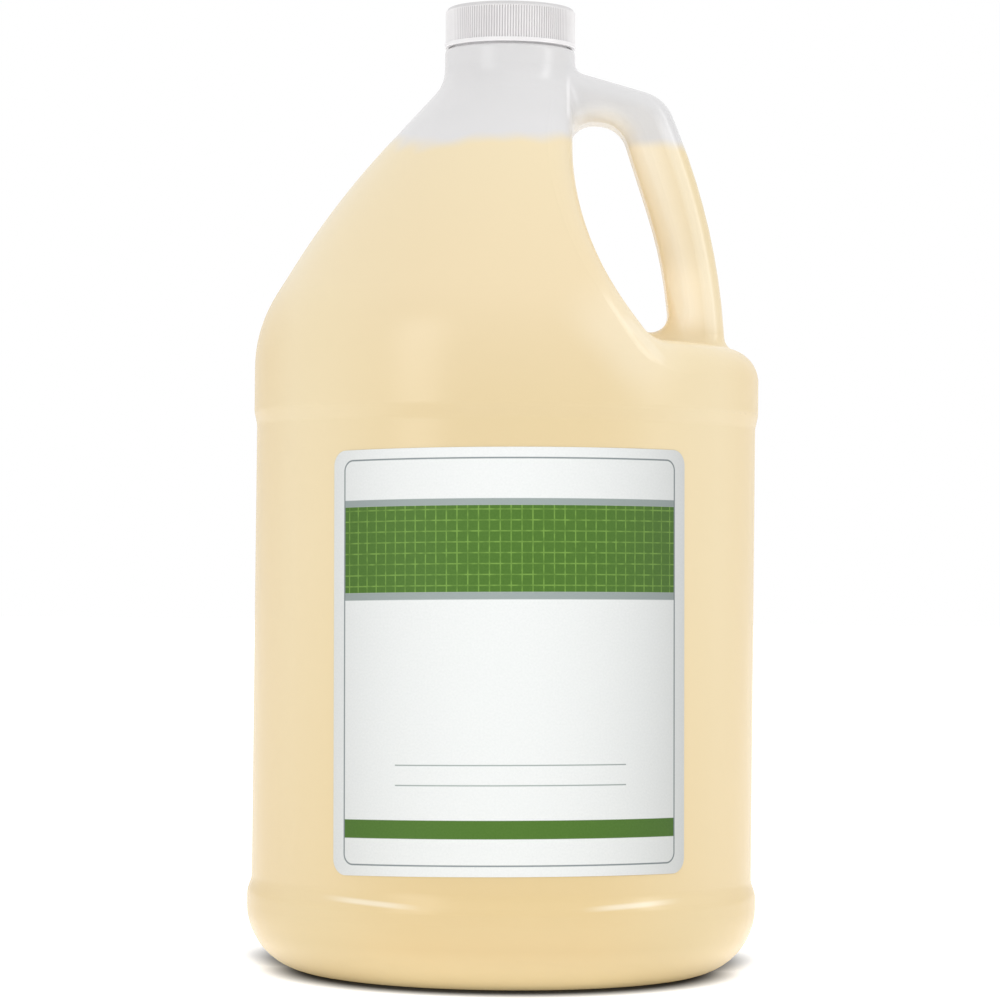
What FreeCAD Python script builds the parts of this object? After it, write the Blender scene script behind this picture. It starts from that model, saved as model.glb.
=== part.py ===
import FreeCAD, Part
import math
import os

# A one-gallon round jug with a hollow side handle, a ribbed screw cap with a foam liner,
# the oil inside it and a paper label. Millimetres. Z is up, the origin is the middle of
# the base, the handle is on +X and the label faces -Y.

# Body of the jug, from the floor upwards
BASE_RADIUS = 77.0            # ring above the heel, the widest place
HEEL_RADIUS = 19.8            # rounding from the floor into the ring
STAND_WIDTH = 9.8             # flat ring that the jug stands on, inside the heel
PUSH_UP = 5.9                 # hollow under the base
PUSH_UP_SLOPE = 13.8          # width of the slope from the flat ring up to the middle of that hollow
RING_HEIGHT = 23.8            # floor to the top of the base ring
STEP_RISE = 3.9               # height of the slanted steps above and below the label panel
PANEL_RECESS = 1.35           # label panel, inside the base ring
PANEL_HEIGHT = 136.8
SHOULDER_STEP = 0.85          # shoulder ring, outside the label panel
SHOULDER_HEIGHT = 25.2        # shoulder ring, up to where the dome lines meet it
SHOULDER_ROUND = 42.0
DOME_SHARE = 0.6805           # where the lower and upper dome lines meet, as a share of the base radius
DOME_LOWER_RISE = 39.2
DOME_UPPER_RISE = 36.0
DOME_ROUND = 247.0
COLLAR_STEP = 2.5             # plain collar under the cap, outside the screw finish
COLLAR_HEIGHT = 10.6
COLLAR_ROUND = 11.8
COLLAR_EDGE = 1.2
STEP_ROUND = 6.0
WALL = 1.0                    # blown wall

# Scoop that makes room for the fingers
SCOOP_DROP = 5.0              # its floor, under the shoulder corner
SCOOP_FOOT_SHARE = 0.5403     # where the floor and the flank meet, as a share of the base radius
SCOOP_KNEE_STEP = 1.6         # where the flank turns upright, inside the collar
SCOOP_KNEE_DROP = 14.0        # under the dome corner
SCOOP_HEAD_STEP = 0.6         # where the flank turns out again, inside the collar
SCOOP_HEAD_DROP = 6.1         # under the collar corner
SCOOP_FOOT_ROUND = 8.0
SCOOP_KNEE_ROUND = 85.0
SCOOP_HEAD_ROUND = 9.0
SCOOP_EDGE_SHARE = 0.13       # rounding between the scoop and the dome, as a share of the base radius

# Hollow handle, with its outer line and its root at shares of the base radius
HANDLE_DEPTH = 22.0           # front to back
HANDLE_EDGE = 6.0             # rounding of its long edges
HANDLE_ROOT_SHARE = 0.059     # hollow rounding where it grows out of the jug
HANDLE_TOP_RISE = 3.75        # its top line at the collar, above the collar corner
HANDLE_CORNER_SHARE = 0.613   # outer corner at the top
HANDLE_CORNER_DROP = 3.9
HANDLE_CORNER_ROUND = 12.8
HANDLE_MIDDLE_SHARE = 0.8208  # outer bend half-way down
HANDLE_MIDDLE_DROP = 7.4      # under the dome corner
HANDLE_MIDDLE_ROUND = 197.5
HANDLE_FOOT_SHARE = 0.8649    # where it meets the scoop floor
GRIP_TOP = 13.6               # width of the grip at the top corner, the bend and the foot
GRIP_MIDDLE = 16.3
GRIP_FOOT = 16.9
HOLE_DROP = 11.6              # top of the finger hole, under the collar corner
HOLE_MIDDLE_DROP = 15.9       # inner bend, under the dome corner
HOLE_FLOOR_RISE = 3.6         # web under the hole, above the scoop floor at the grip
HOLE_SLOPE = 12.0             # slope of the web under the hole, in degrees
HOLE_HEAD_SHARE = 0.48        # rounding of its upper corners, as a share of its width at the top
HOLE_CORNER_SHARE = 0.60
HOLE_BEND_ROUND = 138.0
HOLE_FOOT_ROUND = 5.5

# Screw finish of the neck, the 38 mm one-turn kind
FINISH_RADIUS = 17.3
FINISH_HEIGHT = 10.3
FINISH_EDGE = 0.6
NECK_WALL = 1.9
THREAD_HEIGHT = 1.15
THREAD_PITCH = 4.233
THREAD_ROOT_WIDTH = 2.4
THREAD_CREST_WIDTH = 1.1
THREAD_TURNS = 1.15
THREAD_START = 3.1            # middle of the thread at its lower end, above the collar
THREAD_CLEARANCE = 0.3        # between the threads of neck and cap, sideways

# Screw cap and its liner
CAP_WALL = 0.65               # between the bore and the foot of the ribs
CAP_RIB_DEPTH = 0.35
CAP_LIP_STEP = 0.2            # plain lip, outside the ribs
CAP_LIP_HEIGHT = 1.2
CAP_RIB_COUNT = 150
CAP_TOP_THICKNESS = 1.2
CAP_TOP_ROUND = 1.2
CAP_COLLAR_GAP = 0.5          # between the cap and the collar
CAP_THREAD_TURNS = 1.1
CAP_THREAD_LEAD = 0.35        # turns by which the cap thread starts after the neck thread
LINER_THICKNESS = 1.0
LINER_CLEARANCE = 0.3
SEAT_GAP = 0.1                # flat faces over and under the liner

# Oil and label
OIL_GAP = 0.1                 # between the oil and the wall
OIL_DROP = 19.2               # fill line, under the collar corner
LABEL_HALF_ANGLE = 42.3
LABEL_TURN = 1.2              # the label is stuck on a little towards the handle
LABEL_FOOT_MARGIN = 6.3       # bare panel under and over the label
LABEL_HEAD_MARGIN = 8.3
LABEL_CORNER = 4.5
LABEL_THICKNESS = 0.12
LABEL_GAP = 0.03

# Levels and radii that follow from the sizes above
PANEL_RADIUS = BASE_RADIUS - PANEL_RECESS
SHOULDER_RADIUS = PANEL_RADIUS + SHOULDER_STEP
FOOT_RADIUS = BASE_RADIUS - HEEL_RADIUS - STAND_WIDTH
PUSH_UP_RADIUS = FOOT_RADIUS - PUSH_UP_SLOPE
DOME_RADIUS = DOME_SHARE * BASE_RADIUS
COLLAR_RADIUS = FINISH_RADIUS + COLLAR_STEP
BORE_RADIUS = FINISH_RADIUS - NECK_WALL
SCOOP_FOOT = SCOOP_FOOT_SHARE * BASE_RADIUS
SCOOP_EDGE = SCOOP_EDGE_SHARE * BASE_RADIUS
SCOOP_KNEE = COLLAR_RADIUS - SCOOP_KNEE_STEP
SCOOP_HEAD = COLLAR_RADIUS - SCOOP_HEAD_STEP
HANDLE_ROOT = HANDLE_ROOT_SHARE * BASE_RADIUS
HANDLE_CORNER = HANDLE_CORNER_SHARE * BASE_RADIUS
HANDLE_MIDDLE = HANDLE_MIDDLE_SHARE * BASE_RADIUS
HANDLE_FOOT = HANDLE_FOOT_SHARE * BASE_RADIUS
HOLE_WIDTH = HANDLE_CORNER - GRIP_TOP - SCOOP_KNEE
HOLE_HEAD_ROUND = HOLE_HEAD_SHARE * HOLE_WIDTH
HOLE_CORNER_ROUND = HOLE_CORNER_SHARE * HOLE_WIDTH
PANEL_LOW = RING_HEIGHT + STEP_RISE
PANEL_TOP = PANEL_LOW + PANEL_HEIGHT
SHOULDER_LOW = PANEL_TOP + STEP_RISE
SHOULDER_TOP = SHOULDER_LOW + SHOULDER_HEIGHT
DOME_LEVEL = SHOULDER_TOP + DOME_LOWER_RISE
COLLAR_LEVEL = DOME_LEVEL + DOME_UPPER_RISE
COLLAR_TOP = COLLAR_LEVEL + COLLAR_HEIGHT
SCOOP_FLOOR = SHOULDER_TOP - SCOOP_DROP
NECK_TOP = COLLAR_TOP + FINISH_HEIGHT
THREAD_CREST = FINISH_RADIUS + THREAD_HEIGHT
CAP_LOW = COLLAR_TOP + CAP_COLLAR_GAP
LINER_LOW = NECK_TOP + SEAT_GAP
CAP_CEILING = LINER_LOW + LINER_THICKNESS + SEAT_GAP
CAP_TOP = CAP_CEILING + CAP_TOP_THICKNESS
CAP_BORE = THREAD_CREST + THREAD_CLEARANCE
CAP_RIB_RADIUS = CAP_BORE + CAP_WALL + CAP_RIB_DEPTH
CAP_LIP_RADIUS = CAP_RIB_RADIUS + CAP_LIP_STEP
CAP_THREAD_CREST = FINISH_RADIUS + THREAD_CLEARANCE
LINER_RADIUS = CAP_BORE - LINER_CLEARANCE
OIL_LEVEL = COLLAR_LEVEL - OIL_DROP
LABEL_LOW = PANEL_LOW + LABEL_FOOT_MARGIN
LABEL_HEIGHT = PANEL_HEIGHT - LABEL_FOOT_MARGIN - LABEL_HEAD_MARGIN

AXIS_FOOT = FreeCAD.Vector(0, 0, 0)
UP = FreeCAD.Vector(0, 0, 1)


def flat(x, z):
    """A point in the plane of the handle."""
    return FreeCAD.Vector(x, 0, z)


def offset_corners(corners, grow):
    """Move every side of a closed outline outwards and change its corner radii to match."""
    count = len(corners)
    pairs = [(corners[i], corners[(i + 1) % count]) for i in range(count)]
    area = sum(a[0] * b[1] - b[0] * a[1] for a, b in pairs)
    turn = math.copysign(1.0, area)
    sides = []
    for a, b in pairs:
        length = math.hypot(b[0] - a[0], b[1] - a[1])
        along_x = (b[0] - a[0]) / length
        along_z = (b[1] - a[1]) / length
        sides.append((a[0] + along_z * turn * grow, a[1] - along_x * turn * grow, along_x, along_z))
    moved = []
    for i in range(count):
        ax, az, adx, adz = sides[i - 1]
        bx, bz, bdx, bdz = sides[i]
        cross = adx * bdz - adz * bdx
        reach = ((bx - ax) * bdz - (bz - az) * bdx) / cross
        radius = corners[i][2]
        if radius > 0:
            radius += math.copysign(grow, grow * cross * turn)
        moved.append((ax + adx * reach, az + adz * reach, radius))
    return moved


def outline_face(corners):
    """Face inside a closed outline of (x, z, corner radius), with tangent arcs at the corners."""
    count = len(corners)
    bends = []
    for i in range(count):
        x, z, radius = corners[i]
        corner = flat(x, z)
        back = (flat(*corners[i - 1][:2]) - corner).normalize()
        ahead = (flat(*corners[(i + 1) % count][:2]) - corner).normalize()
        half = back.getAngle(ahead) / 2
        middle = (back + ahead).normalize()
        reach = radius / math.tan(half)
        bends.append((corner + back * reach,
                      corner + middle * (radius / math.sin(half) - radius),
                      corner + ahead * reach))
    edges = []
    for i in range(count):
        start, middle, end = bends[i]
        if corners[i][2] > 0:
            edges.append(Part.Arc(start, middle, end).toShape())
        edges.append(Part.LineSegment(end, bends[(i + 1) % count][0]).toShape())
    return Part.Face(Part.Wire(edges))


def prism(face, half_depth):
    """The face drawn out to both sides of the handle plane."""
    back = face.copy()
    back.translate(FreeCAD.Vector(0, -half_depth, 0))
    return back.extrude(FreeCAD.Vector(0, 2 * half_depth, 0)).Solids[0]


def shared_edges(solid, first, second):
    """Edges of the solid that lie on the skins of two other solids."""
    found = []
    for edge in solid.Edges:
        span = edge.LastParameter - edge.FirstParameter
        points = [edge.valueAt(edge.FirstParameter + span * share) for share in (0.2, 0.5, 0.8)]
        near = all(second.BoundBox.isInside(point) for point in points)
        dots = [Part.Vertex(point) for point in points]
        skins = (second.Shells[0], first.Shells[0])
        if near and all(skin.distToShape(dot)[0] < 1e-3 for skin in skins for dot in dots):
            found.append(edge)
    return found


def turned_body(inset):
    """The jug without scoop and handle, as a turned solid."""
    corners = [
        (-inset, PUSH_UP, 0),
        (PUSH_UP_RADIUS, PUSH_UP, 30.0),
        (FOOT_RADIUS, 0, 8.0),
        (BASE_RADIUS, 0, HEEL_RADIUS),
        (BASE_RADIUS, RING_HEIGHT, STEP_ROUND),
        (PANEL_RADIUS, PANEL_LOW, STEP_ROUND),
        (PANEL_RADIUS, PANEL_TOP, STEP_ROUND),
        (SHOULDER_RADIUS, SHOULDER_LOW, STEP_ROUND),
        (SHOULDER_RADIUS, SHOULDER_TOP, SHOULDER_ROUND),
        (DOME_RADIUS, DOME_LEVEL, DOME_ROUND),
        (COLLAR_RADIUS, COLLAR_LEVEL, COLLAR_ROUND),
        (COLLAR_RADIUS, COLLAR_TOP, COLLAR_EDGE),
        (-inset, COLLAR_TOP, 0),
    ]
    return outline_face(offset_corners(corners, -inset)).revolve(AXIS_FOOT, UP, 360)


def finger_scoop(inset):
    """Space cut out of the dome behind the grip."""
    far = 2 * BASE_RADIUS
    head = COLLAR_LEVEL - SCOOP_HEAD_DROP
    corners = [
        (far, SCOOP_FLOOR, 0),
        (SCOOP_FOOT, SCOOP_FLOOR, SCOOP_FOOT_ROUND),
        (SCOOP_KNEE, DOME_LEVEL - SCOOP_KNEE_DROP, SCOOP_KNEE_ROUND),
        (SCOOP_HEAD, head, SCOOP_HEAD_ROUND),
        (SCOOP_HEAD + COLLAR_RADIUS, head + COLLAR_RADIUS, 0),
        (far, head + COLLAR_RADIUS, 0),
    ]
    return prism(outline_face(offset_corners(corners, inset)), far)


def handle_slab(inset, body):
    """Handle with its finger hole, rounded along the edges that stand clear of the body."""
    root = 0.2 * COLLAR_RADIUS
    fall = (HANDLE_TOP_RISE + HANDLE_CORNER_DROP) / (HANDLE_CORNER - COLLAR_RADIUS)
    sunk = SCOOP_FLOOR - HANDLE_EDGE
    outer = [
        (root, COLLAR_LEVEL + HANDLE_TOP_RISE + fall * (COLLAR_RADIUS - root), 0),
        (HANDLE_CORNER, COLLAR_LEVEL - HANDLE_CORNER_DROP, HANDLE_CORNER_ROUND),
        (HANDLE_MIDDLE, DOME_LEVEL - HANDLE_MIDDLE_DROP, HANDLE_MIDDLE_ROUND),
        (HANDLE_FOOT, sunk, 0),
        (root, sunk, 0),
    ]
    web = SCOOP_FLOOR + HOLE_FLOOR_RISE
    web_reach = HANDLE_FOOT - GRIP_FOOT - SCOOP_KNEE - 3.0
    hole = [
        (SCOOP_KNEE + 0.1, COLLAR_LEVEL - HOLE_DROP, HOLE_HEAD_ROUND),
        (HANDLE_CORNER - GRIP_TOP, COLLAR_LEVEL - HOLE_DROP, HOLE_CORNER_ROUND),
        (HANDLE_MIDDLE - GRIP_MIDDLE, DOME_LEVEL - HOLE_MIDDLE_DROP, HOLE_BEND_ROUND),
        (HANDLE_FOOT - GRIP_FOOT, web, HOLE_FOOT_ROUND),
        (SCOOP_KNEE + 3.0, web + web_reach * math.tan(math.radians(HOLE_SLOPE)), 10.0),
        (SCOOP_KNEE + 0.1, DOME_LEVEL - 3.7, 10.0),
    ]
    face = outline_face(offset_corners(outer, -inset)).cut(outline_face(offset_corners(hole, inset)))
    half = HANDLE_DEPTH / 2 - inset
    slab = prism(face.Faces[0], half)
    rim = []
    for edge in slab.Edges:
        middle = edge.valueAt((edge.FirstParameter + edge.LastParameter) / 2)
        flat_edge = edge.BoundBox.YLength < 1e-6
        if flat_edge and not body.isInside(flat(middle.x, middle.z), 1e-6, True):
            rim.append(edge)
    return slab.makeFillet(HANDLE_EDGE - inset, rim).Solids[0]


def jug_form(inset):
    """Jug as a full solid: the outer skin for no inset, the hollow for an inset of one wall."""
    turned = turned_body(inset)
    scoop = finger_scoop(inset)
    body = turned.cut(scoop).Solids[0]
    body = body.makeFillet(SCOOP_EDGE - inset, shared_edges(body, turned, scoop)).Solids[0]
    handle = handle_slab(inset, body)
    whole = body.fuse(handle).Solids[0]
    return whole.makeFillet(HANDLE_ROOT, shared_edges(whole, body, handle)).Solids[0]


def thread(root, crest, low, turns, start):
    """Right-hand thread ridge from the root radius to the crest radius, sunk into its wall."""
    sink = 0.3
    sunk = root - math.copysign(sink, crest - root)
    slope = (THREAD_ROOT_WIDTH - THREAD_CREST_WIDTH) / THREAD_HEIGHT
    wide = (THREAD_ROOT_WIDTH + sink * slope) / 2
    narrow = THREAD_CREST_WIDTH / 2
    points = [flat(sunk, low - wide), flat(crest, low - narrow),
              flat(crest, low + narrow), flat(sunk, low + wide)]
    profile = Part.makePolygon(points + points[:1])
    helix = Part.makeHelix(THREAD_PITCH, THREAD_PITCH * turns, root)
    helix.translate(flat(0, low))
    ridge = Part.Wire(helix.Edges).makePipeShell([profile], True, True)
    ridge.rotate(AXIS_FOOT, UP, 360 * start)
    return ridge


def make_bottle():
    finish = Part.makeCylinder(FINISH_RADIUS, NECK_TOP - COLLAR_LEVEL, flat(0, COLLAR_LEVEL))
    rim = [edge for edge in finish.Edges if edge.BoundBox.ZMin > NECK_TOP - 1e-6]
    finish = finish.makeFillet(FINISH_EDGE, rim)
    ridge = thread(FINISH_RADIUS, THREAD_CREST, COLLAR_TOP + THREAD_START, THREAD_TURNS, 0)
    bore = Part.makeCylinder(BORE_RADIUS, NECK_TOP - COLLAR_LEVEL + 5, flat(0, COLLAR_LEVEL))
    outside = jug_form(0).fuse([finish, ridge]).Solids[0]
    inside = jug_form(WALL).fuse(bore).Solids[0]
    return outside.cut(inside).Solids[0]


def make_oil():
    box = Part.makeBox(4 * BASE_RADIUS, 4 * BASE_RADIUS, OIL_LEVEL)
    box.translate(FreeCAD.Vector(-2 * BASE_RADIUS, -2 * BASE_RADIUS, 0))
    return jug_form(WALL + OIL_GAP).common(box).Solids[0]


def make_cap():
    lip = Part.makeCylinder(CAP_LIP_RADIUS, CAP_LIP_HEIGHT, flat(0, CAP_LOW))
    root = CAP_RIB_RADIUS - CAP_RIB_DEPTH
    step = math.pi / CAP_RIB_COUNT
    ring = [FreeCAD.Vector(r * math.cos(k * step), r * math.sin(k * step), CAP_LOW + CAP_LIP_HEIGHT)
            for k in range(2 * CAP_RIB_COUNT) for r in [(CAP_RIB_RADIUS, root)[k % 2]]]
    ribs = Part.Face(Part.makePolygon(ring + ring[:1]))
    ribs = ribs.extrude(UP * (CAP_TOP - CAP_TOP_ROUND - CAP_LOW - CAP_LIP_HEIGHT))
    crown = Part.makeCylinder(root, CAP_TOP_ROUND + 1, flat(0, CAP_TOP - CAP_TOP_ROUND - 1))
    edge = [line for line in crown.Edges if line.BoundBox.ZMin > CAP_TOP - 1e-6]
    crown = crown.makeFillet(CAP_TOP_ROUND * 0.95, edge)
    hollow = Part.makeCylinder(CAP_BORE, CAP_CEILING - CAP_LOW, flat(0, CAP_LOW))
    ridge_low = COLLAR_TOP + THREAD_START + THREAD_PITCH * (CAP_THREAD_LEAD - 0.5)
    ridge = thread(CAP_BORE, CAP_THREAD_CREST, ridge_low, CAP_THREAD_TURNS, CAP_THREAD_LEAD)
    shell = lip.fuse([ribs, crown]).cut(hollow)
    return shell.fuse(ridge).Solids[0]


def make_liner():
    return Part.makeCylinder(LINER_RADIUS, LINER_THICKNESS, flat(0, LINER_LOW))


def make_label():
    inner = PANEL_RADIUS + LABEL_GAP
    outer = inner + LABEL_THICKNESS
    top = LABEL_LOW + LABEL_HEIGHT
    strip = Part.makePolygon([flat(inner, LABEL_LOW), flat(outer, LABEL_LOW), flat(outer, top),
                              flat(inner, top), flat(inner, LABEL_LOW)])
    sheet = Part.Face(strip).revolve(AXIS_FOOT, UP, 2 * LABEL_HALF_ANGLE)
    sheet.rotate(AXIS_FOOT, UP, -LABEL_HALF_ANGLE)
    size = LABEL_CORNER + 1
    block = Part.makeBox(2 * size, size, size, flat(inner - size, 0))
    rod = Part.makeCylinder(LABEL_CORNER, 2 * size, flat(inner - size, 0), FreeCAD.Vector(1, 0, 0))
    turn = LABEL_HALF_ANGLE - math.degrees(LABEL_CORNER / inner)
    rise = LABEL_HEIGHT / 2 - LABEL_CORNER
    waste = []
    for quarter, side, level in ((0, 1, 1), (1, -1, 1), (2, -1, -1), (3, 1, -1)):
        corner = block.cut(rod)
        corner.rotate(AXIS_FOOT, FreeCAD.Vector(1, 0, 0), 90 * quarter)
        corner.rotate(AXIS_FOOT, UP, side * turn)
        corner.translate(flat(0, LABEL_LOW + LABEL_HEIGHT / 2 + level * rise))
        waste.append(corner)
    sheet = sheet.cut(waste)
    sheet.rotate(AXIS_FOOT, UP, LABEL_TURN - 90)
    return sheet.Solids[0]


def main():
    os.makedirs("parts", exist_ok=True)
    pieces = {
        "bottle": make_bottle(),
        "cap": make_cap(),
        "cap_liner": make_liner(),
        "oil": make_oil(),
        "front_label": make_label(),
    }
    for name, shape in pieces.items():
        print(name, "valid" if shape.isValid() else "not valid", round(shape.Volume / 1000, 2), "cm3")
        shape.exportStep("parts/" + name + ".step")


if __name__ == "__main__":
    main()
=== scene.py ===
# %% [markdown]
# A one-gallon jug of pale oil, dressed for the camera. The solids come from the CAD frame and stay where
# they are. This script gives each of them the finish of its real material, makes the printed label as a
# thin curved sheet, and sets up a white studio with the camera of the photograph. Lengths are in metres,
# and in millimetres where a name ends in MM.

# %% Load the frame
import math
import bpy
import numpy as np
from mathutils import Matrix, Vector


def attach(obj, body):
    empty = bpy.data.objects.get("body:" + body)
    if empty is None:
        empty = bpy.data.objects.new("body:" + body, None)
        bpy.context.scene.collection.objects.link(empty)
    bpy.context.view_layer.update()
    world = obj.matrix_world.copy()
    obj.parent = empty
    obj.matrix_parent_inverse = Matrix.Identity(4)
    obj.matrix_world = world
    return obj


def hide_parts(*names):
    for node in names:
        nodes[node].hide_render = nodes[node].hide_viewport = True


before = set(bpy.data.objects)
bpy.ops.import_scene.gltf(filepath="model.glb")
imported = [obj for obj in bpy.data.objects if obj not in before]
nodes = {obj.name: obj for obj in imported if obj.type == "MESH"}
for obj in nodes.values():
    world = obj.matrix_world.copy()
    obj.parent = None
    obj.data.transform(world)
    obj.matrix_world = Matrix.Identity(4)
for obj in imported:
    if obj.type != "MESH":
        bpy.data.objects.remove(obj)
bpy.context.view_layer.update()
print("solids:", ", ".join(sorted(nodes)))

# %% [markdown]
# A material in Blender is a graph of nodes. It could be wired by hand in the shader editor, but as a script
# it can be read from top to bottom and made again. One small function adds any node, sets it up and fills
# its inputs with values or links. Colours are written as the hex values that a painter picks on a screen,
# and one function turns them into the linear light that Blender works with.

# %% Colours and nodes
MM_PER_M = 1000.0


def linear(hex_colour):
    """sRGB hex to linear: each channel is divided by 255, then the sRGB curve is undone."""
    channels = [int(hex_colour[i:i + 2], 16) / 255 for i in (1, 3, 5)]
    curve = [c / 12.92 if c <= 0.04045 else ((c + 0.055) / 1.055) ** 2.4 for c in channels]
    return (*curve, 1.0)


def add(tree, kind, inputs=None, **settings):
    """Add one node, set its own settings, then fill its inputs with values or link them to sockets."""
    node = tree.nodes.new(kind)
    for name, value in settings.items():
        setattr(node, name, value)
    for key, value in (inputs or {}).items():
        if isinstance(value, bpy.types.NodeSocket):
            tree.links.new(value, node.inputs[key])
        else:
            node.inputs[key].default_value = value
    return node


def new_material(name):
    """An empty material with one Principled shader joined to its output."""
    material = bpy.data.materials.new(name)
    material.use_nodes = True
    tree = material.node_tree
    tree.nodes.clear()
    shader = add(tree, "ShaderNodeBsdfPrincipled")
    add(tree, "ShaderNodeOutputMaterial", {"Surface": shader.outputs[0]})
    return material, tree, shader


def roughen(tree, shader, height, depth_mm):
    """Bump along the surface normal, as deep as the given depth where the height runs 0 to 1."""
    inputs = {"Height": height, "Strength": 1.0, "Distance": depth_mm / MM_PER_M}
    bump = add(tree, "ShaderNodeBump", inputs)
    tree.links.new(bump.outputs[0], shader.inputs["Normal"])


def dress(piece, material):
    """Give every face of a piece one material."""
    piece.data.materials.clear()
    piece.data.materials.append(material)
    print(piece.name, "is dressed with", len(material.node_tree.nodes), "nodes of", material.name)


# %% [markdown]
# Much of a finish is a question of where: a mask is a number from 0 to 1 that says how much of a tint lies
# at a point. Masks could be painted by hand as pictures, but here they are worked out from the place of the
# point, so they are sharp at any distance and need no file. They start from soft steps, which are
# multiplied, added or compared, and coats of colour are laid over each other through them.

# %% Masks and coats


def ease(tree, value, start, end):
    """Soft step from 0 at start to 1 at end: three times the share squared less two times the share cubed."""
    inputs = {"Value": value, "From Min": start, "From Max": end}
    return add(tree, "ShaderNodeMapRange", inputs, interpolation_type="SMOOTHSTEP").outputs[0]


def product(tree, first, *others):
    """Values or masks multiplied together."""
    for other in others:
        first = add(tree, "ShaderNodeMath", {0: first, 1: other}, operation="MULTIPLY").outputs[0]
    return first


def largest(tree, first, *others):
    """The largest of several values or masks."""
    for other in others:
        first = add(tree, "ShaderNodeMath", {0: first, 1: other}, operation="MAXIMUM").outputs[0]
    return first


def weighted(tree, start, *terms):
    """Weighted sum: the start plus each value times its weight."""
    for value, weight in terms:
        inputs = {0: value, 1: weight, 2: start}
        start = add(tree, "ShaderNodeMath", inputs, operation="MULTIPLY_ADD").outputs[0]
    return start


def away(tree, value, centre=0.0):
    """Distance of a value from a centre: their difference without its sign."""
    difference = weighted(tree, -centre, (value, 1.0))
    return add(tree, "ShaderNodeMath", {0: difference}, operation="ABSOLUTE").outputs[0]


def length(tree, first, second):
    """Length of a step that goes both ways: the root of the first squared plus the second squared."""
    squares = weighted(tree, 0.0, (first, first), (second, second))
    return add(tree, "ShaderNodeMath", {0: squares}, operation="SQRT").outputs[0]


def spot(tree, value, centre, reach, core=0.2):
    """Mask that is 1 round a centre, up to a core share of the reach, and fades to 0 at the reach."""
    return ease(tree, away(tree, value, centre), reach, core * reach)


def mark(tree, first, second, shape):
    """Soft mark in two directions: the spot in the first times the spot in the second times its strength."""
    first_spot, second_spot, strength = shape
    return product(tree, spot(tree, first, *first_spot), spot(tree, second, *second_spot), strength)


def coated(tree, ground, *coats):
    """Colour of a ground under coats: each coat takes over from what is below it as far as its mask is 1."""
    for mask, tint in coats:
        ground = add(tree, "ShaderNodeMix", {0: mask, 6: ground, 7: tint}, data_type="RGBA").outputs[2]
    return ground


# %% [markdown]
# The plastic of the jug is milky and lets the oil show through as a warm tint. A clear wall with a liquid
# behind it could be traced as glass is, but that is slow and grainy, and a milky wall hides what is behind
# it anyway. So the tint is part of the colour of the wall. It is a little deeper low down.

# %% Oil behind the wall
FILL_LEVEL = 0.2496

# Stops are shares of the fill height. Each edge is where a soft step starts and ends.
# The lowest stops are lighter: painted light at the heel, against the shade that the floor throws on it.
SIDE_TINTS = ((0.0, "#EFDAAB"), (0.05, "#E8D2A0"), (0.12, "#EBD5A6"), (0.5, "#EDDAB0"), (1.0, "#EDDCB6"))
FRONT_SHADE_TINTS = ((0.0, "#FFEDC0"), (0.05, "#EBD09A"), (0.12, "#E6CC95"), (0.66, "#E7D1A2"), (0.8, "#ECD8B0"),
               (1.0, "#EDDCB6"))
# The front mask lays the deepest tint in the middle, partly as painted shade where the label keeps light out.
FRONT_SHADE_EDGE = (0.058, 0.022)
# The rim tint is painted shade at the very sides, which tones down their pale reflections.
RIM_SHADE_TINT = "#DFC07C"
RIM_SHADE_SHARE = 0.75
RIM_SHADE_EDGE = (0.061, 0.079)

# The grip lies right of a slanted line. Its stops go from that line outwards.
# The grip tints are light, partly for the thin oil and partly as painted light against the shade round the
# finger hole.
GRIP_LIGHT_TINTS = ((0.0, "#F6E8CC"), (0.06, "#FDF5E4"), (0.5, "#F7EACE"), (1.0, "#E6D3A8"))
GRIP_SLANT = 0.30
GRIP_OFFSET = 0.104
GRIP_EDGE = (-0.004, 0.006)
GRIP_START = (0.188, 0.200)
GRIP_ACROSS = (0.004, 0.026)


def graded(tree, share, stops):
    """Tint that changes evenly from stop to stop along a row."""
    node = add(tree, "ShaderNodeValToRGB", {0: share})
    elements = node.color_ramp.elements
    elements[0].position, elements[0].color = stops[0][0], linear(stops[0][1])
    elements[1].position, elements[1].color = stops[-1][0], linear(stops[-1][1])
    for position, colour in stops[1:-1]:
        elements.new(position).color = linear(colour)
    return node.outputs[0]


def oil_tint(tree, x, z):
    """Colour of the wall with oil behind it.

    The tint is deepest in the middle, partly for the depth of oil behind the wall and partly as painted
    shade, where the label keeps light out of the oil. It is deep again at the very sides, as painted shade
    that tones down their pale reflections, and light in the grip, partly for the thin oil and partly as
    painted light against the shade round the finger hole. The grip is the part right of a slanted line
    through the finger
    hole: the distance from it is the slant times the height, plus the place across, less an offset.
    """
    height = product(tree, z, 1.0 / FILL_LEVEL)
    aside = away(tree, x)
    # Painted shade: a deeper tint in the middle and at the very sides. Painted light: a lighter grip.
    front = ease(tree, aside, *FRONT_SHADE_EDGE)
    rim_shade = product(tree, ease(tree, aside, *RIM_SHADE_EDGE), RIM_SHADE_SHARE)
    outwards = weighted(tree, -GRIP_OFFSET, (x, 1.0), (z, GRIP_SLANT))
    grip = product(tree, ease(tree, outwards, *GRIP_EDGE), ease(tree, z, *GRIP_START))
    grip_light_tint = graded(tree, ease(tree, outwards, *GRIP_ACROSS), GRIP_LIGHT_TINTS)
    return coated(tree, graded(tree, height, SIDE_TINTS), (front, graded(tree, height, FRONT_SHADE_TINTS)),
                  (rim_shade, linear(RIM_SHADE_TINT)), (grip, grip_light_tint))


print("oil shows up to", FILL_LEVEL * MM_PER_M, "mm")
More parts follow.
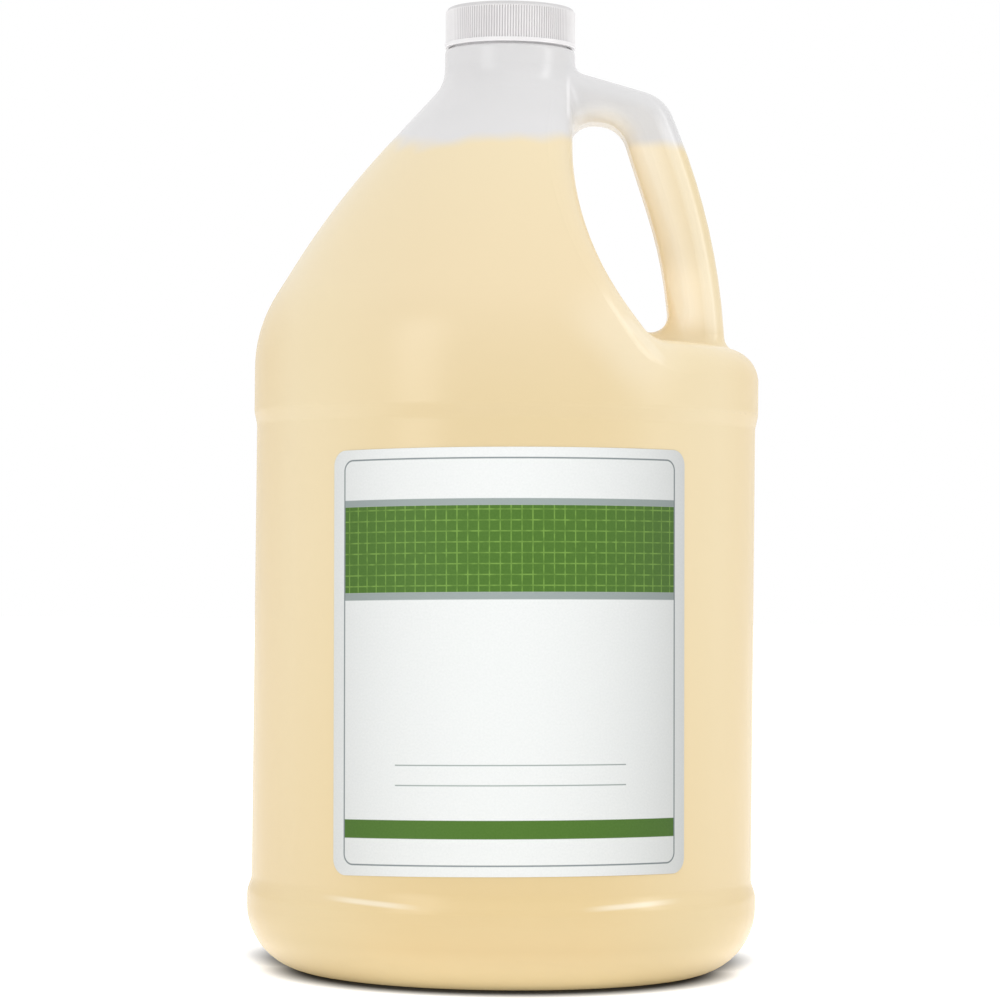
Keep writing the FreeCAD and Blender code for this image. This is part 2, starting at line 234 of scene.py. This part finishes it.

# %% [markdown]
# Pale painted highlights lie along the scoop, on the grip, on the ledge over the base ring and in the crease
# beside the neck: reflections of the lamps, laid into the colour. Left to the lamps they would wander with
# the view. As soft marks in the colour they stay in their places.

# %% Painted highlights on the wall
# Each painted highlight has its centre, its reach and sometimes its core in two directions, then its
# strength.
SCOOP_RUN = 0.69
SCOOP_DROP = 0.72
SCOOP_ALONG = 0.1177
SCOOP_BESIDE = -0.1611
STREAK_MARK = ((-0.0032, 0.0027), (0.009, 0.014, 0.3), 0.45)
BORDER_MARK = ((-0.0060, 0.0150), (0.006, 0.024), 0.25)
GRIP_LOW = 0.1939
GRIP_BEND = 2.67
GRIP_LEAN = 0.08
GRIP_MARK = ((0.0617, 0.0028), (0.031, 0.036, 0.8), 0.36)
LEDGE_CLIMB = 0.055
LEDGE_MARK = ((0.02335, 0.0011), (0.0375, 0.016), 0.6)
CREASE_MARK = ((0.0176, 0.0008), (0.263, 0.0085, 0.4), 0.6)
FRONT_HALF = (-0.001, -0.004)


def painted_highlights(tree, x, y, z):
    """Mask of the painted highlights, reflections of the lamps laid into the colour.

    One is a streak with a wide soft border along the lower end of the scoop, given by the distances along
    and beside a slanted line. The others are on the front half only. One follows the grip, whose line
    across is a parabola of the height. Two are short marks on the ledge over the base ring, which climb
    outwards, and one is the upright crease between the neck and the handle.
    """
    along = weighted(tree, SCOOP_ALONG, (z, -SCOOP_DROP), (x, SCOOP_RUN))
    beside = weighted(tree, SCOOP_BESIDE, (z, SCOOP_RUN), (x, SCOOP_DROP))
    streak = mark(tree, beside, along, STREAK_MARK)
    border = mark(tree, beside, along, BORDER_MARK)
    rise = weighted(tree, -GRIP_LOW, (z, 1.0))
    from_line = weighted(tree, x, (rise, weighted(tree, GRIP_LEAN, (rise, GRIP_BEND))))
    grip = mark(tree, from_line, rise, GRIP_MARK)
    aside = away(tree, x)
    ledge = mark(tree, weighted(tree, z, (aside, -LEDGE_CLIMB)), aside, LEDGE_MARK)
    crease = mark(tree, x, z, CREASE_MARK)
    ahead = product(tree, largest(tree, grip, ledge, crease), ease(tree, y, *FRONT_HALF))
    return largest(tree, streak, border, ahead)


# %% [markdown]
# Light that falls on milky plastic wanders in it and comes out elsewhere, so edges that should be dark are a
# little lighter. Subsurface scattering does this properly but slowly. A faint painted glow at the heel, at
# the foot of the neck and at the foot of the grip stands in for it and lightens the shade there.

# %% Painted glow for light through the wall
HEEL_GLOW = 0.13
HEEL_TOP = 0.014
NECK_GLOW = 0.20
NECK_FOOT = (0.2797, 0.0012, 0.6)
NECK_EDGE = (0.0186, 0.0180)
GRIP_GLOW_MARK = ((0.053, 0.012), (0.203, 0.016), 0.11)


def wall_glow(tree, x, y, z):
    """Strength of the painted glow: the sum of three masks, each times its own strength."""
    heel = ease(tree, z, HEEL_TOP, 0.0)
    neck = product(tree, spot(tree, z, *NECK_FOOT), ease(tree, length(tree, x, y), *NECK_EDGE))
    grip = mark(tree, x, z, GRIP_GLOW_MARK)
    return weighted(tree, grip, (heel, HEEL_GLOW), (neck, NECK_GLOW))


# %% [markdown]
# The jug is natural polyethylene, blown as a hot tube into a cold two-part mould. To the eye it is milky with
# a satin shine, white above the fill line and tinted below it. The line is soft and uneven, because oil
# clings to the wall, so noise is added to the height before the line is drawn. Cold moulds leave a fine grain
# and slow ripples in the skin, and the two halves leave a faint seam. All three are too shallow to be worth a
# mesh, so they are bump, and the grain is drawn coarser than it is, so that it shows.

# %% Natural polyethylene, blown
FILL_BLUR = 0.0026
FILL_WAVE = 0.0060
CLOUD_TINT = "#F3DDB4"
CLOUD_SHARE = 0.16
DRY_TONES = ("#D6D6D6", "#E4E2E3")
# Undersides get painted light, a whiter tint.
UNDERSIDE_LIGHT_TINT = "#FFFFFF"
UNDERSIDE_LIGHT_SHARE = 0.8
UNDERSIDE_TILT = (0.1, -0.8)
# Tints of the painted highlights below and above the fill line.
WET_HIGHLIGHT_TINT = "#FFF6E2"
DRY_HIGHLIGHT_TINT = "#FAF9FA"

# Size and detail of each noise, and how high ripples and seam stand next to the grain.
WAVE_MM = (26.0, 2.0)
CLOUD_MM = (35.0, 3.0)
RIPPLE_MM = (14.0, 1.0)
GRAIN_MM = (0.5, 2.0)
RIPPLE_RISE = 4.0
SEAM_RISE = 4.0
SEAM_HALF_WIDTH = 0.0003
SKIN_DEPTH_MM = 0.012


def make_polyethylene():
    """White plastic above the fill line and oil tint below it, blended over a few millimetres of height.

    Undersides above the line are a little whiter: painted light that lightens the shade under the arch of
    the handle.
    """
    material, tree, shader = new_material("natural_polyethylene_blown")
    place = add(tree, "ShaderNodeTexCoord").outputs["Object"]
    x, y, z = add(tree, "ShaderNodeSeparateXYZ", {0: place}).outputs
    wave, cloud, ripple, grain = (
        add(tree, "ShaderNodeTexNoise",
            {"Vector": place, "Scale": MM_PER_M / size_mm, "Detail": detail}).outputs[0]
        for size_mm, detail in (WAVE_MM, CLOUD_MM, RIPPLE_MM, GRAIN_MM))
    level = weighted(tree, z, (wave, 2 * FILL_WAVE))
    middle = FILL_LEVEL + FILL_WAVE
    dry = ease(tree, level, middle - FILL_BLUR, middle + FILL_BLUR)
    wet_tone = coated(tree, oil_tint(tree, x, z), (product(tree, cloud, CLOUD_SHARE), linear(CLOUD_TINT)))
    facing = add(tree, "ShaderNodeNewGeometry").outputs["Normal"]
    upwards = add(tree, "ShaderNodeSeparateXYZ", {0: facing}).outputs[2]
    # Painted light on undersides above the fill line.
    underside_light = product(tree, ease(tree, upwards, *UNDERSIDE_TILT), UNDERSIDE_LIGHT_SHARE)
    dry_tone = coated(tree, linear(DRY_TONES[0]), (cloud, linear(DRY_TONES[1])),
                      (underside_light, linear(UNDERSIDE_LIGHT_TINT)))
    # Painted highlights: a pale tint, warm below the fill line and white above it.
    highlight_tone = coated(tree, linear(WET_HIGHLIGHT_TINT), (dry, linear(DRY_HIGHLIGHT_TINT)))
    tone = coated(tree, wet_tone, (dry, dry_tone), (painted_highlights(tree, x, y, z), highlight_tone))
    tree.links.new(tone, shader.inputs["Base Color"])
    # Painted glow at the heel, the foot of the neck and the foot of the grip, in the colour of the wall.
    tree.links.new(tone, shader.inputs["Emission Color"])
    tree.links.new(wall_glow(tree, x, y, z), shader.inputs["Emission Strength"])
    seam = ease(tree, away(tree, y), SEAM_HALF_WIDTH, 0.0)
    height = weighted(tree, grain, (ripple, RIPPLE_RISE), (seam, SEAM_RISE))
    roughen(tree, shader, height, SKIN_DEPTH_MM)
    shader.inputs["Roughness"].default_value = 0.27
    shader.inputs["IOR"].default_value = 1.5
    return material


dress(nodes["bottle"], make_polyethylene())

# %% [markdown]
# The cap is injection moulded from white polypropylene. Its mould is polished at the sides, so the ribs shine
# softly, and the top is laid a darker grey. The ribs are in the solid, but the narrow grooves between them
# would need many bounces of light to look as grey as they do, so painted shade is laid into them by their
# distance from the axis. The lower edge has a faint painted glow that lightens the shade under it, as the
# thin skirt lets some light through.

# %% White polypropylene, moulded
CAP_TONES = ("#EBE9EA", "#F8F7F7")
CAP_TOP_TINT = "#C6C4C5"
CAP_TOP_SHARE = 0.8
CAP_GROOVE_SHADE_TINT = "#CBC8C9"
CAP_GLOW_TINT = "#F2F1F1"
CAP_GLOW = 0.16
CAP_CLOUD_MM = (6.0, 3.0)
CAP_GRAIN_MM = (0.25, 2.0)
CAP_GRAIN_DEPTH_MM = 0.006

# Soft steps of the height: where the ribs end, where the darker grey top begins, and down to the lower edge
# with its painted glow.
CAP_RIBS_END = (0.2909, 0.2905)
CAP_TOP_EDGE = (0.2905, 0.2915)
CAP_LIP_EDGE = (0.2802, 0.2799)

# Distances from the axis of the wall behind the grooves, of their bottoms and of the crests of the ribs.
CAP_WALL_OUT = 0.0193
CAP_GROOVE_OUT = 0.01942
CAP_CREST_OUT = 0.01968


def make_polypropylene():
    """Satin white with a very fine grain and slow changes of tone, as moulded plastic has.

    The mask of the painted shade in the grooves rises from the wall to their bottoms, falls to the crests of
    the ribs and ends with the ribs.
    """
    material, tree, shader = new_material("white_polypropylene_moulded")
    place = add(tree, "ShaderNodeTexCoord").outputs["Object"]
    x, y, z = add(tree, "ShaderNodeSeparateXYZ", {0: place}).outputs
    cloud, grain = (
        add(tree, "ShaderNodeTexNoise",
            {"Vector": place, "Scale": MM_PER_M / size_mm, "Detail": detail}).outputs[0]
        for size_mm, detail in (CAP_CLOUD_MM, CAP_GRAIN_MM))
    out = length(tree, x, y)
    # Painted shade in the grooves between the ribs.
    groove_shade = product(tree, ease(tree, out, CAP_WALL_OUT, CAP_GROOVE_OUT),
                     ease(tree, z, *CAP_RIBS_END), ease(tree, out, CAP_CREST_OUT, CAP_GROOVE_OUT))
    top = product(tree, ease(tree, z, *CAP_TOP_EDGE), CAP_TOP_SHARE)
    tone = coated(tree, linear(CAP_TONES[0]), (cloud, linear(CAP_TONES[1])), (top, linear(CAP_TOP_TINT)),
                  (groove_shade, linear(CAP_GROOVE_SHADE_TINT)))
    tree.links.new(tone, shader.inputs["Base Color"])
    # Painted glow on the lower edge, which lightens the shade under the cap.
    lip = product(tree, ease(tree, z, *CAP_LIP_EDGE), CAP_GLOW)
    tree.links.new(lip, shader.inputs["Emission Strength"])
    shader.inputs["Emission Color"].default_value = linear(CAP_GLOW_TINT)
    roughen(tree, shader, grain, CAP_GRAIN_DEPTH_MM)
    shader.inputs["Roughness"].default_value = 0.35
    return material


dress(nodes["cap"], make_polypropylene())

# %% [markdown]
# The liner is a disc punched out of white foam sheet. Its cut cells are small open cups, which could be
# modelled, but a cell pattern as bump is enough for a piece that hides in the cap. The oil is pale yellow and
# a little cloudy, with a smooth wet surface. It stays inside the jug, so it needs no more than that.

# %% Foam liner and oil
FOAM_TONES = ("#D8D5CE", "#F0EEE9")
FOAM_CELL_MM = 0.35
FOAM_DEPTH_MM = 0.05
OIL_TONES = ("#DFC27C", "#E8CF92")
OIL_CLOUD_MM = 30.0


def make_foam():
    """Off-white foam with small open cells, darker in the cells than between them."""
    material, tree, shader = new_material("white_foam_punched")
    place = add(tree, "ShaderNodeTexCoord").outputs["Object"]
    cells = add(tree, "ShaderNodeTexVoronoi", {"Vector": place, "Scale": MM_PER_M / FOAM_CELL_MM}).outputs[0]
    tone = coated(tree, linear(FOAM_TONES[0]), (cells, linear(FOAM_TONES[1])))
    tree.links.new(tone, shader.inputs["Base Color"])
    roughen(tree, shader, cells, FOAM_DEPTH_MM)
    shader.inputs["Roughness"].default_value = 0.85
    return material


def make_oil():
    """Pale yellow oil, a little cloudy, with a smooth wet surface."""
    material, tree, shader = new_material("pale_oil_poured")
    place = add(tree, "ShaderNodeTexCoord").outputs["Object"]
    cloud = add(tree, "ShaderNodeTexNoise", {"Vector": place, "Scale": MM_PER_M / OIL_CLOUD_MM}).outputs[0]
    tone = coated(tree, linear(OIL_TONES[0]), (cloud, linear(OIL_TONES[1])))
    tree.links.new(tone, shader.inputs["Base Color"])
    shader.inputs["Roughness"].default_value = 0.06
    shader.inputs["IOR"].default_value = 1.47
    return material


dress(nodes["cap_liner"], make_foam())
dress(nodes["oil"], make_oil())

# %% [markdown]
# The label is coated paper, cut with round corners and stuck on the panel. It could be a flat plane that a
# modifier bends, but a grid worked out as arrays has the right shape at once: the rows of a rounded
# rectangle, wound round the jug. The grid keeps its flat coordinates in millimetres, so that the print can be
# drawn on it as plain stripes.

# %% Label sheet
LABEL_RADIUS = 0.0758
LABEL_HALF_ANGLE = math.radians(41.95)
LABEL_TURN = math.radians(1.6)
LABEL_LOW = 0.0337
LABEL_TOP = 0.1559
LABEL_CORNER = 0.0045
LABEL_LEAN = math.radians(0.70)
LABEL_ARCH = 0.0005
CORNER_ROWS = 13
MIDDLE_ROWS = 41
COLUMNS = 97


def make_label():
    """Rounded rectangle bent round the jug.

    Across, u runs from the left to the right edge; up, v runs from the lower to the upper edge. Each row is
    as wide as the rounded rectangle is at its height: near the ends the half width loses a corner radius
    and gains the root of that radius squared less the height inside the corner squared. The sheet leans a
    little to one side and its rows rise a little towards the middle. Then the width is wound round the
    axis: the angle is the width over the radius.
    """
    half_width = LABEL_RADIUS * LABEL_HALF_ANGLE
    height = LABEL_TOP - LABEL_LOW
    foot = LABEL_CORNER * (1.0 - np.cos(np.linspace(0.0, np.pi / 2, CORNER_ROWS)))
    middle = np.linspace(LABEL_CORNER, height - LABEL_CORNER, MIDDLE_ROWS)[1:-1]
    rows = np.concatenate([foot, middle, height - foot[::-1]])
    inside = LABEL_CORNER - np.minimum(np.minimum(rows, height - rows), LABEL_CORNER)
    reach = half_width - LABEL_CORNER + np.sqrt(np.maximum(LABEL_CORNER ** 2 - inside ** 2, 0.0))
    across = np.linspace(-1.0, 1.0, COLUMNS)
    width = reach[:, None] * across[None, :]
    level = np.broadcast_to(rows[:, None], width.shape)
    lean = math.sin(LABEL_LEAN)
    angle = (width - (level - height / 2) * lean) / LABEL_RADIUS + LABEL_TURN
    rise = LABEL_LOW + level + width * lean + LABEL_ARCH * (0.5 - across[None, :] ** 2)
    points = np.stack([LABEL_RADIUS * np.sin(angle), -LABEL_RADIUS * np.cos(angle), rise], axis=-1)
    index = np.arange(width.size).reshape(width.shape)
    corners = [index[:-1, :-1], index[:-1, 1:], index[1:, 1:], index[1:, :-1]]
    quads = np.stack(corners, axis=-1).reshape(-1, 4)
    mesh = bpy.data.meshes.new("label_sheet")
    mesh.from_pydata(points.reshape(-1, 3).tolist(), [], quads.tolist())
    mesh.shade_smooth()
    flat_mm = np.stack([width, level - height / 2], axis=-1).reshape(-1, 2) * MM_PER_M
    layer = mesh.uv_layers.new(name="print_mm")
    layer.data.foreach_set("uv", flat_mm[quads.reshape(-1)].reshape(-1).astype(np.float32))
    sheet = bpy.data.objects.new("label_sheet", mesh)
    bpy.context.scene.collection.objects.link(sheet)
    return sheet


label = make_label()
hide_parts("front_label")
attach(label, "jug")
print("label sheet:", len(label.data.polygons), "faces")

# %% [markdown]
# The print needs a few soft-edged shapes: stripes, thin lines at a regular pitch and a frame with round
# corners. A picture of them would blur when seen close, so they are masks of the flat coordinates. Those are
# millimetres from the middle of the label, and so are all lengths of the print.

# %% Shapes of the print
SOFT = 0.12
NET_PITCH = 3.1
NET_HALF = 0.12
FRAME_REACH = (51.4, 58.0)
FRAME_CORNER = 3.0
FRAME_HALF = 0.22


def below(tree, value, limit):
    """Mask that is 1 below a limit, with a soft edge."""
    return ease(tree, value, limit + SOFT, limit - SOFT)


def between(tree, value, low, high):
    """Mask that is 1 between two values, with soft edges."""
    return product(tree, ease(tree, value, low - SOFT, low + SOFT), below(tree, value, high))


def net_lines(tree, value):
    """Mask of thin lines at a regular pitch: the value runs to and fro between a line and half the pitch."""
    swing = add(tree, "ShaderNodeMath", {0: value, 1: NET_PITCH / 2}, operation="PINGPONG").outputs[0]
    return ease(tree, swing, NET_HALF + SOFT, NET_HALF)


def frame_line(tree, side, rise):
    """Mask of a thin line round a rectangle with round corners.

    Inside a corner the distance is the length of the two steps past the corner's centre, and along a side
    one of the steps is nothing. The line is where that distance is the corner radius.
    """
    past = [largest(tree, weighted(tree, FRAME_CORNER - reach, (value, 1.0)), 0.0)
            for value, reach in zip((side, rise), FRAME_REACH)]
    return between(tree, length(tree, *past), FRAME_CORNER - FRAME_HALF, FRAME_CORNER + FRAME_HALF)


# %% [markdown]
# The print is three inks on white coated paper: a green band with a fine net of lighter lines, a grey stripe
# above and below it, a thin grey frame, two thin grey rules and a narrow green band at the foot. On a press
# each ink is laid over the ones before it, and so it is here. A painted shade, soft grey towards the sides
# and stronger on the right, goes over it all. The paper has a faint fibre pattern and a dull gloss.

# %% Label print
PAPER_TONES = ("#EDF0EF", "#FBFDFC")
FIBRE_MM = 0.625
FIBRE_DETAIL = 4.0
FIBRE_DEPTH_MM = 0.004
GREEN_TONES = ("#446E1A", "#557D2D")
GREEN_BAND = (19.8, 44.6)
FOOT_BAND = (-50.4, -45.1)
STRIPE_TINT = "#A1ACAA"
STRIPES = ((17.7, 19.8), (44.6, 46.5))
RULE_TINT = "#9BA6A2"
RULE_LEVELS = (-29.45, -35.2)
RULE_REACH = 34.2
RULE_HALF = 0.16
FRAME_TINT = "#8A9496"

# The lines of the net are patchy: size of the patches, and the least strength and how much more there is.
NET_TINT = "#86B04E"
PATCH_MM = 2.857
PATCH_DETAIL = 1.0
PATCH_EDGE = (0.35, 0.65)
NET_LEAST = 0.25
NET_MORE = 0.5

# The painted shade grows with the square of the distance from a line left of the middle.
SHADE_TINT = "#000000"
SHADE_SHARE = 0.29
SHADE_LINE = -6.0
SHADE_REACH = 56.0


def make_print():
    """White paper, then the inks laid over it one after the other, and painted shade over all."""
    material, tree, shader = new_material("label_paper_printed")
    place = add(tree, "ShaderNodeUVMap", uv_map="print_mm").outputs[0]
    u, v = add(tree, "ShaderNodeSeparateXYZ", {0: place}).outputs[:2]
    side, rise = away(tree, u), away(tree, v)
    fibre, patches = (
        add(tree, "ShaderNodeTexNoise", {"Vector": place, "Scale": 1.0 / size, "Detail": detail}).outputs[0]
        for size, detail in ((FIBRE_MM, FIBRE_DETAIL), (PATCH_MM, PATCH_DETAIL)))
    green = coated(tree, linear(GREEN_TONES[0]), (fibre, linear(GREEN_TONES[1])))
    strength = weighted(tree, NET_LEAST, (ease(tree, patches, *PATCH_EDGE), NET_MORE))
    net = product(tree, largest(tree, net_lines(tree, u), net_lines(tree, v)), strength)
    netted = coated(tree, green, (net, linear(NET_TINT)))
    bands = [(GREEN_BAND, netted), (FOOT_BAND, green)]
    bands += [(stripe, linear(STRIPE_TINT)) for stripe in STRIPES]
    within = below(tree, side, FRAME_REACH[0])
    inks_and_shade = [(product(tree, between(tree, v, *levels), within), ink) for levels, ink in bands]
    short = below(tree, side, RULE_REACH)
    for level in RULE_LEVELS:
        rule = between(tree, v, level - RULE_HALF, level + RULE_HALF)
        inks_and_shade.append((product(tree, rule, short), linear(RULE_TINT)))
    inks_and_shade.append((frame_line(tree, side, rise), linear(FRAME_TINT)))
    # Painted shade towards the sides, stronger on the right.
    bend = weighted(tree, -SHADE_LINE / SHADE_REACH, (u, 1.0 / SHADE_REACH))
    inks_and_shade.append((product(tree, bend, bend, SHADE_SHARE), linear(SHADE_TINT)))
    colour = coated(tree, linear(PAPER_TONES[0]), (fibre, linear(PAPER_TONES[1])), *inks_and_shade)
    tree.links.new(colour, shader.inputs["Base Color"])
    roughen(tree, shader, fibre, FIBRE_DEPTH_MM)
    shader.inputs["Roughness"].default_value = 0.5
    shader.inputs["Specular IOR Level"].default_value = 0.3
    return material


dress(label, make_print())

# %% [markdown]
# The jug stands on a white floor that runs out of sight. A real white floor turns grey away from the lamps,
# so as seen by the camera and in reflections it also shines by itself, up to plain white, and more strongly
# near the jug, as painted light over the wide soft shade that the jug leaves there. Its shadow could be left
# to the lamps, but they are so large and soft that it would hardly show, so a shadow is painted dark on the
# floor under the jug. For the light that it sends back to the jug it stays a plain white floor.

# %% Floor
FLOOR_REACH = 8.0
FLOOR_TONE = "#F9F9F9"
FLOOR_GLOW_FAR = 0.36
# Near the jug the glow is stronger: painted light over the soft shade round the jug.
FLOOR_GLOW_NEAR = 0.80
FLOOR_GLOW_EDGE = (0.20, 0.10)
WHITE = "#FFFFFF"

# The shadow: half its width, its lengths before and behind the axis, and how it spreads and fades backwards.
SHADOW_TONE = "#484B52"
SHADOW_HALF = 0.074
SHADOW_AHEAD = 0.080
SHADOW_BEHIND = 0.13
SHADOW_SPREAD = 4.6
SHADOW_FADE = (0.13, 0.02)
SHADOW_EDGE = (1.08, 0.81)


def seen_directly(tree):
    """1 for rays that come from the camera, also by reflection or through clear parts."""
    path = add(tree, "ShaderNodeLightPath").outputs
    return largest(tree, path["Is Camera Ray"], path["Is Glossy Ray"], path["Is Transmission Ray"])


def floor_shadow(tree, x, y):
    """Mask of the painted shadow under the jug.

    It is half an ellipse in front of the axis of the jug. Behind the axis it is half a longer ellipse that
    grows wider with the distance, and it fades out backwards. The share of the way to the rim is the length
    of the two steps from the axis, each over its half axis.
    """
    front = add(tree, "ShaderNodeMath", {0: y, 1: 0.0}, operation="MINIMUM").outputs[0]
    back = largest(tree, y, 0.0)
    half = weighted(tree, SHADOW_HALF, (back, SHADOW_SPREAD * SHADOW_HALF))
    across = add(tree, "ShaderNodeMath", {0: x, 1: half}, operation="DIVIDE").outputs[0]
    along = weighted(tree, 0.0, (front, 1.0 / SHADOW_AHEAD), (back, 1.0 / SHADOW_BEHIND))
    share = length(tree, across, along)
    return product(tree, ease(tree, share, *SHADOW_EDGE), ease(tree, y, *SHADOW_FADE))


def make_floor():
    """A flat square far larger than the jug, as seen with a painted shadow under the jug and white away from
    it.
    """
    corners = np.array([[-1, -1, 0], [1, -1, 0], [1, 1, 0], [-1, 1, 0]]) * FLOOR_REACH
    mesh = bpy.data.meshes.new("studio_floor")
    mesh.from_pydata(corners.tolist(), [], [[0, 1, 2, 3]])
    floor = bpy.data.objects.new("studio_floor", mesh)
    bpy.context.scene.collection.objects.link(floor)
    material, tree, shader = new_material("white_paper_floor")
    place = add(tree, "ShaderNodeTexCoord").outputs["Object"]
    x, y = add(tree, "ShaderNodeSeparateXYZ", {0: place}).outputs[:2]
    dark = floor_shadow(tree, x, y)
    seen = seen_directly(tree)
    # Painted shadow under the jug, for seen rays only.
    tone = coated(tree, linear(FLOOR_TONE), (product(tree, seen, dark), linear(SHADOW_TONE)))
    tree.links.new(tone, shader.inputs["Base Color"])
    near = ease(tree, length(tree, x, y), *FLOOR_GLOW_EDGE)
    glow = weighted(tree, FLOOR_GLOW_FAR, (near, FLOOR_GLOW_NEAR - FLOOR_GLOW_FAR))
    glow = product(tree, glow, seen, weighted(tree, 1.0, (dark, -1.0)))
    tree.links.new(glow, shader.inputs["Emission Strength"])
    shader.inputs["Emission Color"].default_value = linear(WHITE)
    shader.inputs["Roughness"].default_value = 1.0
    shader.inputs["Specular IOR Level"].default_value = 0.0
    dress(floor, material)


make_floor()

# %% [markdown]
# The room is an even white sky that is brighter overhead, with one large soft lamp on the left beside the
# camera and a narrow, weaker one high on the right. Small lamps would draw hard shadows and bright dots on
# the plastic. Large ones are what a photographer takes for it, because their reflections have soft edges.

# %% Sky and lamps
SKY_LOW = 0.43
SKY_RISE = 0.78

# Name, place, target, size and power of each lamp.
LAMPS = (("left_softbox", (-0.9, -1.1, 0.5), (0, 0, 0.15), (0.5, 0.9), 3.0),
         ("right_softbox", (1.0, -0.36, 0.72), (0, 0, 0.24), (0.16, 0.9), 2.45))


def make_sky():
    """White where it is seen. As a lamp it is a low value plus a rise times the share that points upwards."""
    world = bpy.data.worlds.new("white_studio")
    bpy.context.scene.world = world
    world.use_nodes = True
    tree = world.node_tree
    tree.nodes.clear()
    direction = add(tree, "ShaderNodeTexCoord").outputs["Generated"]
    upwards = add(tree, "ShaderNodeSeparateXYZ", {0: direction}).outputs[2]
    lamp = weighted(tree, SKY_LOW, (largest(tree, upwards, 0.0), SKY_RISE))
    strength = add(tree, "ShaderNodeMix", {0: seen_directly(tree), 2: lamp, 3: 1.0}).outputs[0]
    sky = add(tree, "ShaderNodeBackground", {"Color": linear(WHITE), "Strength": strength})
    add(tree, "ShaderNodeOutputWorld", {"Surface": sky.outputs[0]})


def soft_lamp(name, place, target, size, power):
    """A rectangular area lamp at a place that faces a target."""
    data = bpy.data.lights.new(name, "AREA")
    data.shape = "RECTANGLE"
    data.size, data.size_y = size
    data.energy = power
    lamp = bpy.data.objects.new(name, data)
    bpy.context.scene.collection.objects.link(lamp)
    aim = (Vector(target) - Vector(place)).to_track_quat("-Z", "Y")
    lamp.matrix_world = Matrix.Translation(place) @ aim.to_matrix().to_4x4()


make_sky()
for lamp in LAMPS:
    soft_lamp(*lamp)
print("studio: floor, sky and", len(LAMPS), "lamps")

# %% [markdown]
# The camera stands a little over a metre in front of the jug, lower than half its height, with a long lens.
# It could be placed by eye, but the way in which the base, the steps and the cap curve in the photograph
# tells its height, distance and lens, and these numbers come from that.

# %% Camera
PICTURE_PIXELS = 1000.0
FOCAL_PIXELS = 3764.0
HORIZON_ROW = 573.0
AXIS_COLUMN = 505.3
CAMERA_DISTANCE = 1.1453
CAMERA_HEIGHT = 0.1202
ROLL_DEGREES = 0.62
SENSOR_MM = 36.0
CLIP_END = 50.0


def make_camera():
    """Level camera, tilted so that the horizon falls on its row, and rolled about its own view line.

    The tilt is the angle whose tangent is the rows from the middle to the horizon over the focal length in
    pixels. The step aside is the columns from the middle to the axis over that length, times the distance.
    """
    data = bpy.data.cameras.new("camera")
    data.sensor_width = SENSOR_MM
    data.lens = FOCAL_PIXELS * SENSOR_MM / PICTURE_PIXELS
    data.clip_end = CLIP_END
    camera = bpy.data.objects.new("camera", data)
    bpy.context.scene.collection.objects.link(camera)
    middle = PICTURE_PIXELS / 2
    tilt = math.atan((HORIZON_ROW - middle) / FOCAL_PIXELS)
    aside = -(AXIS_COLUMN - middle) / FOCAL_PIXELS * CAMERA_DISTANCE
    camera.matrix_world = (Matrix.Translation((aside, -CAMERA_DISTANCE, CAMERA_HEIGHT))
                           @ Matrix.Rotation(math.radians(90) + tilt, 4, "X")
                           @ Matrix.Rotation(math.radians(ROLL_DEGREES), 4, "Z"))
    bpy.context.scene.camera = camera
    print("camera: lens", round(data.lens, 1), "mm, tilt", round(math.degrees(tilt), 2), "degrees")


make_camera()
bpy.context.scene.view_settings.view_transform = "Standard"
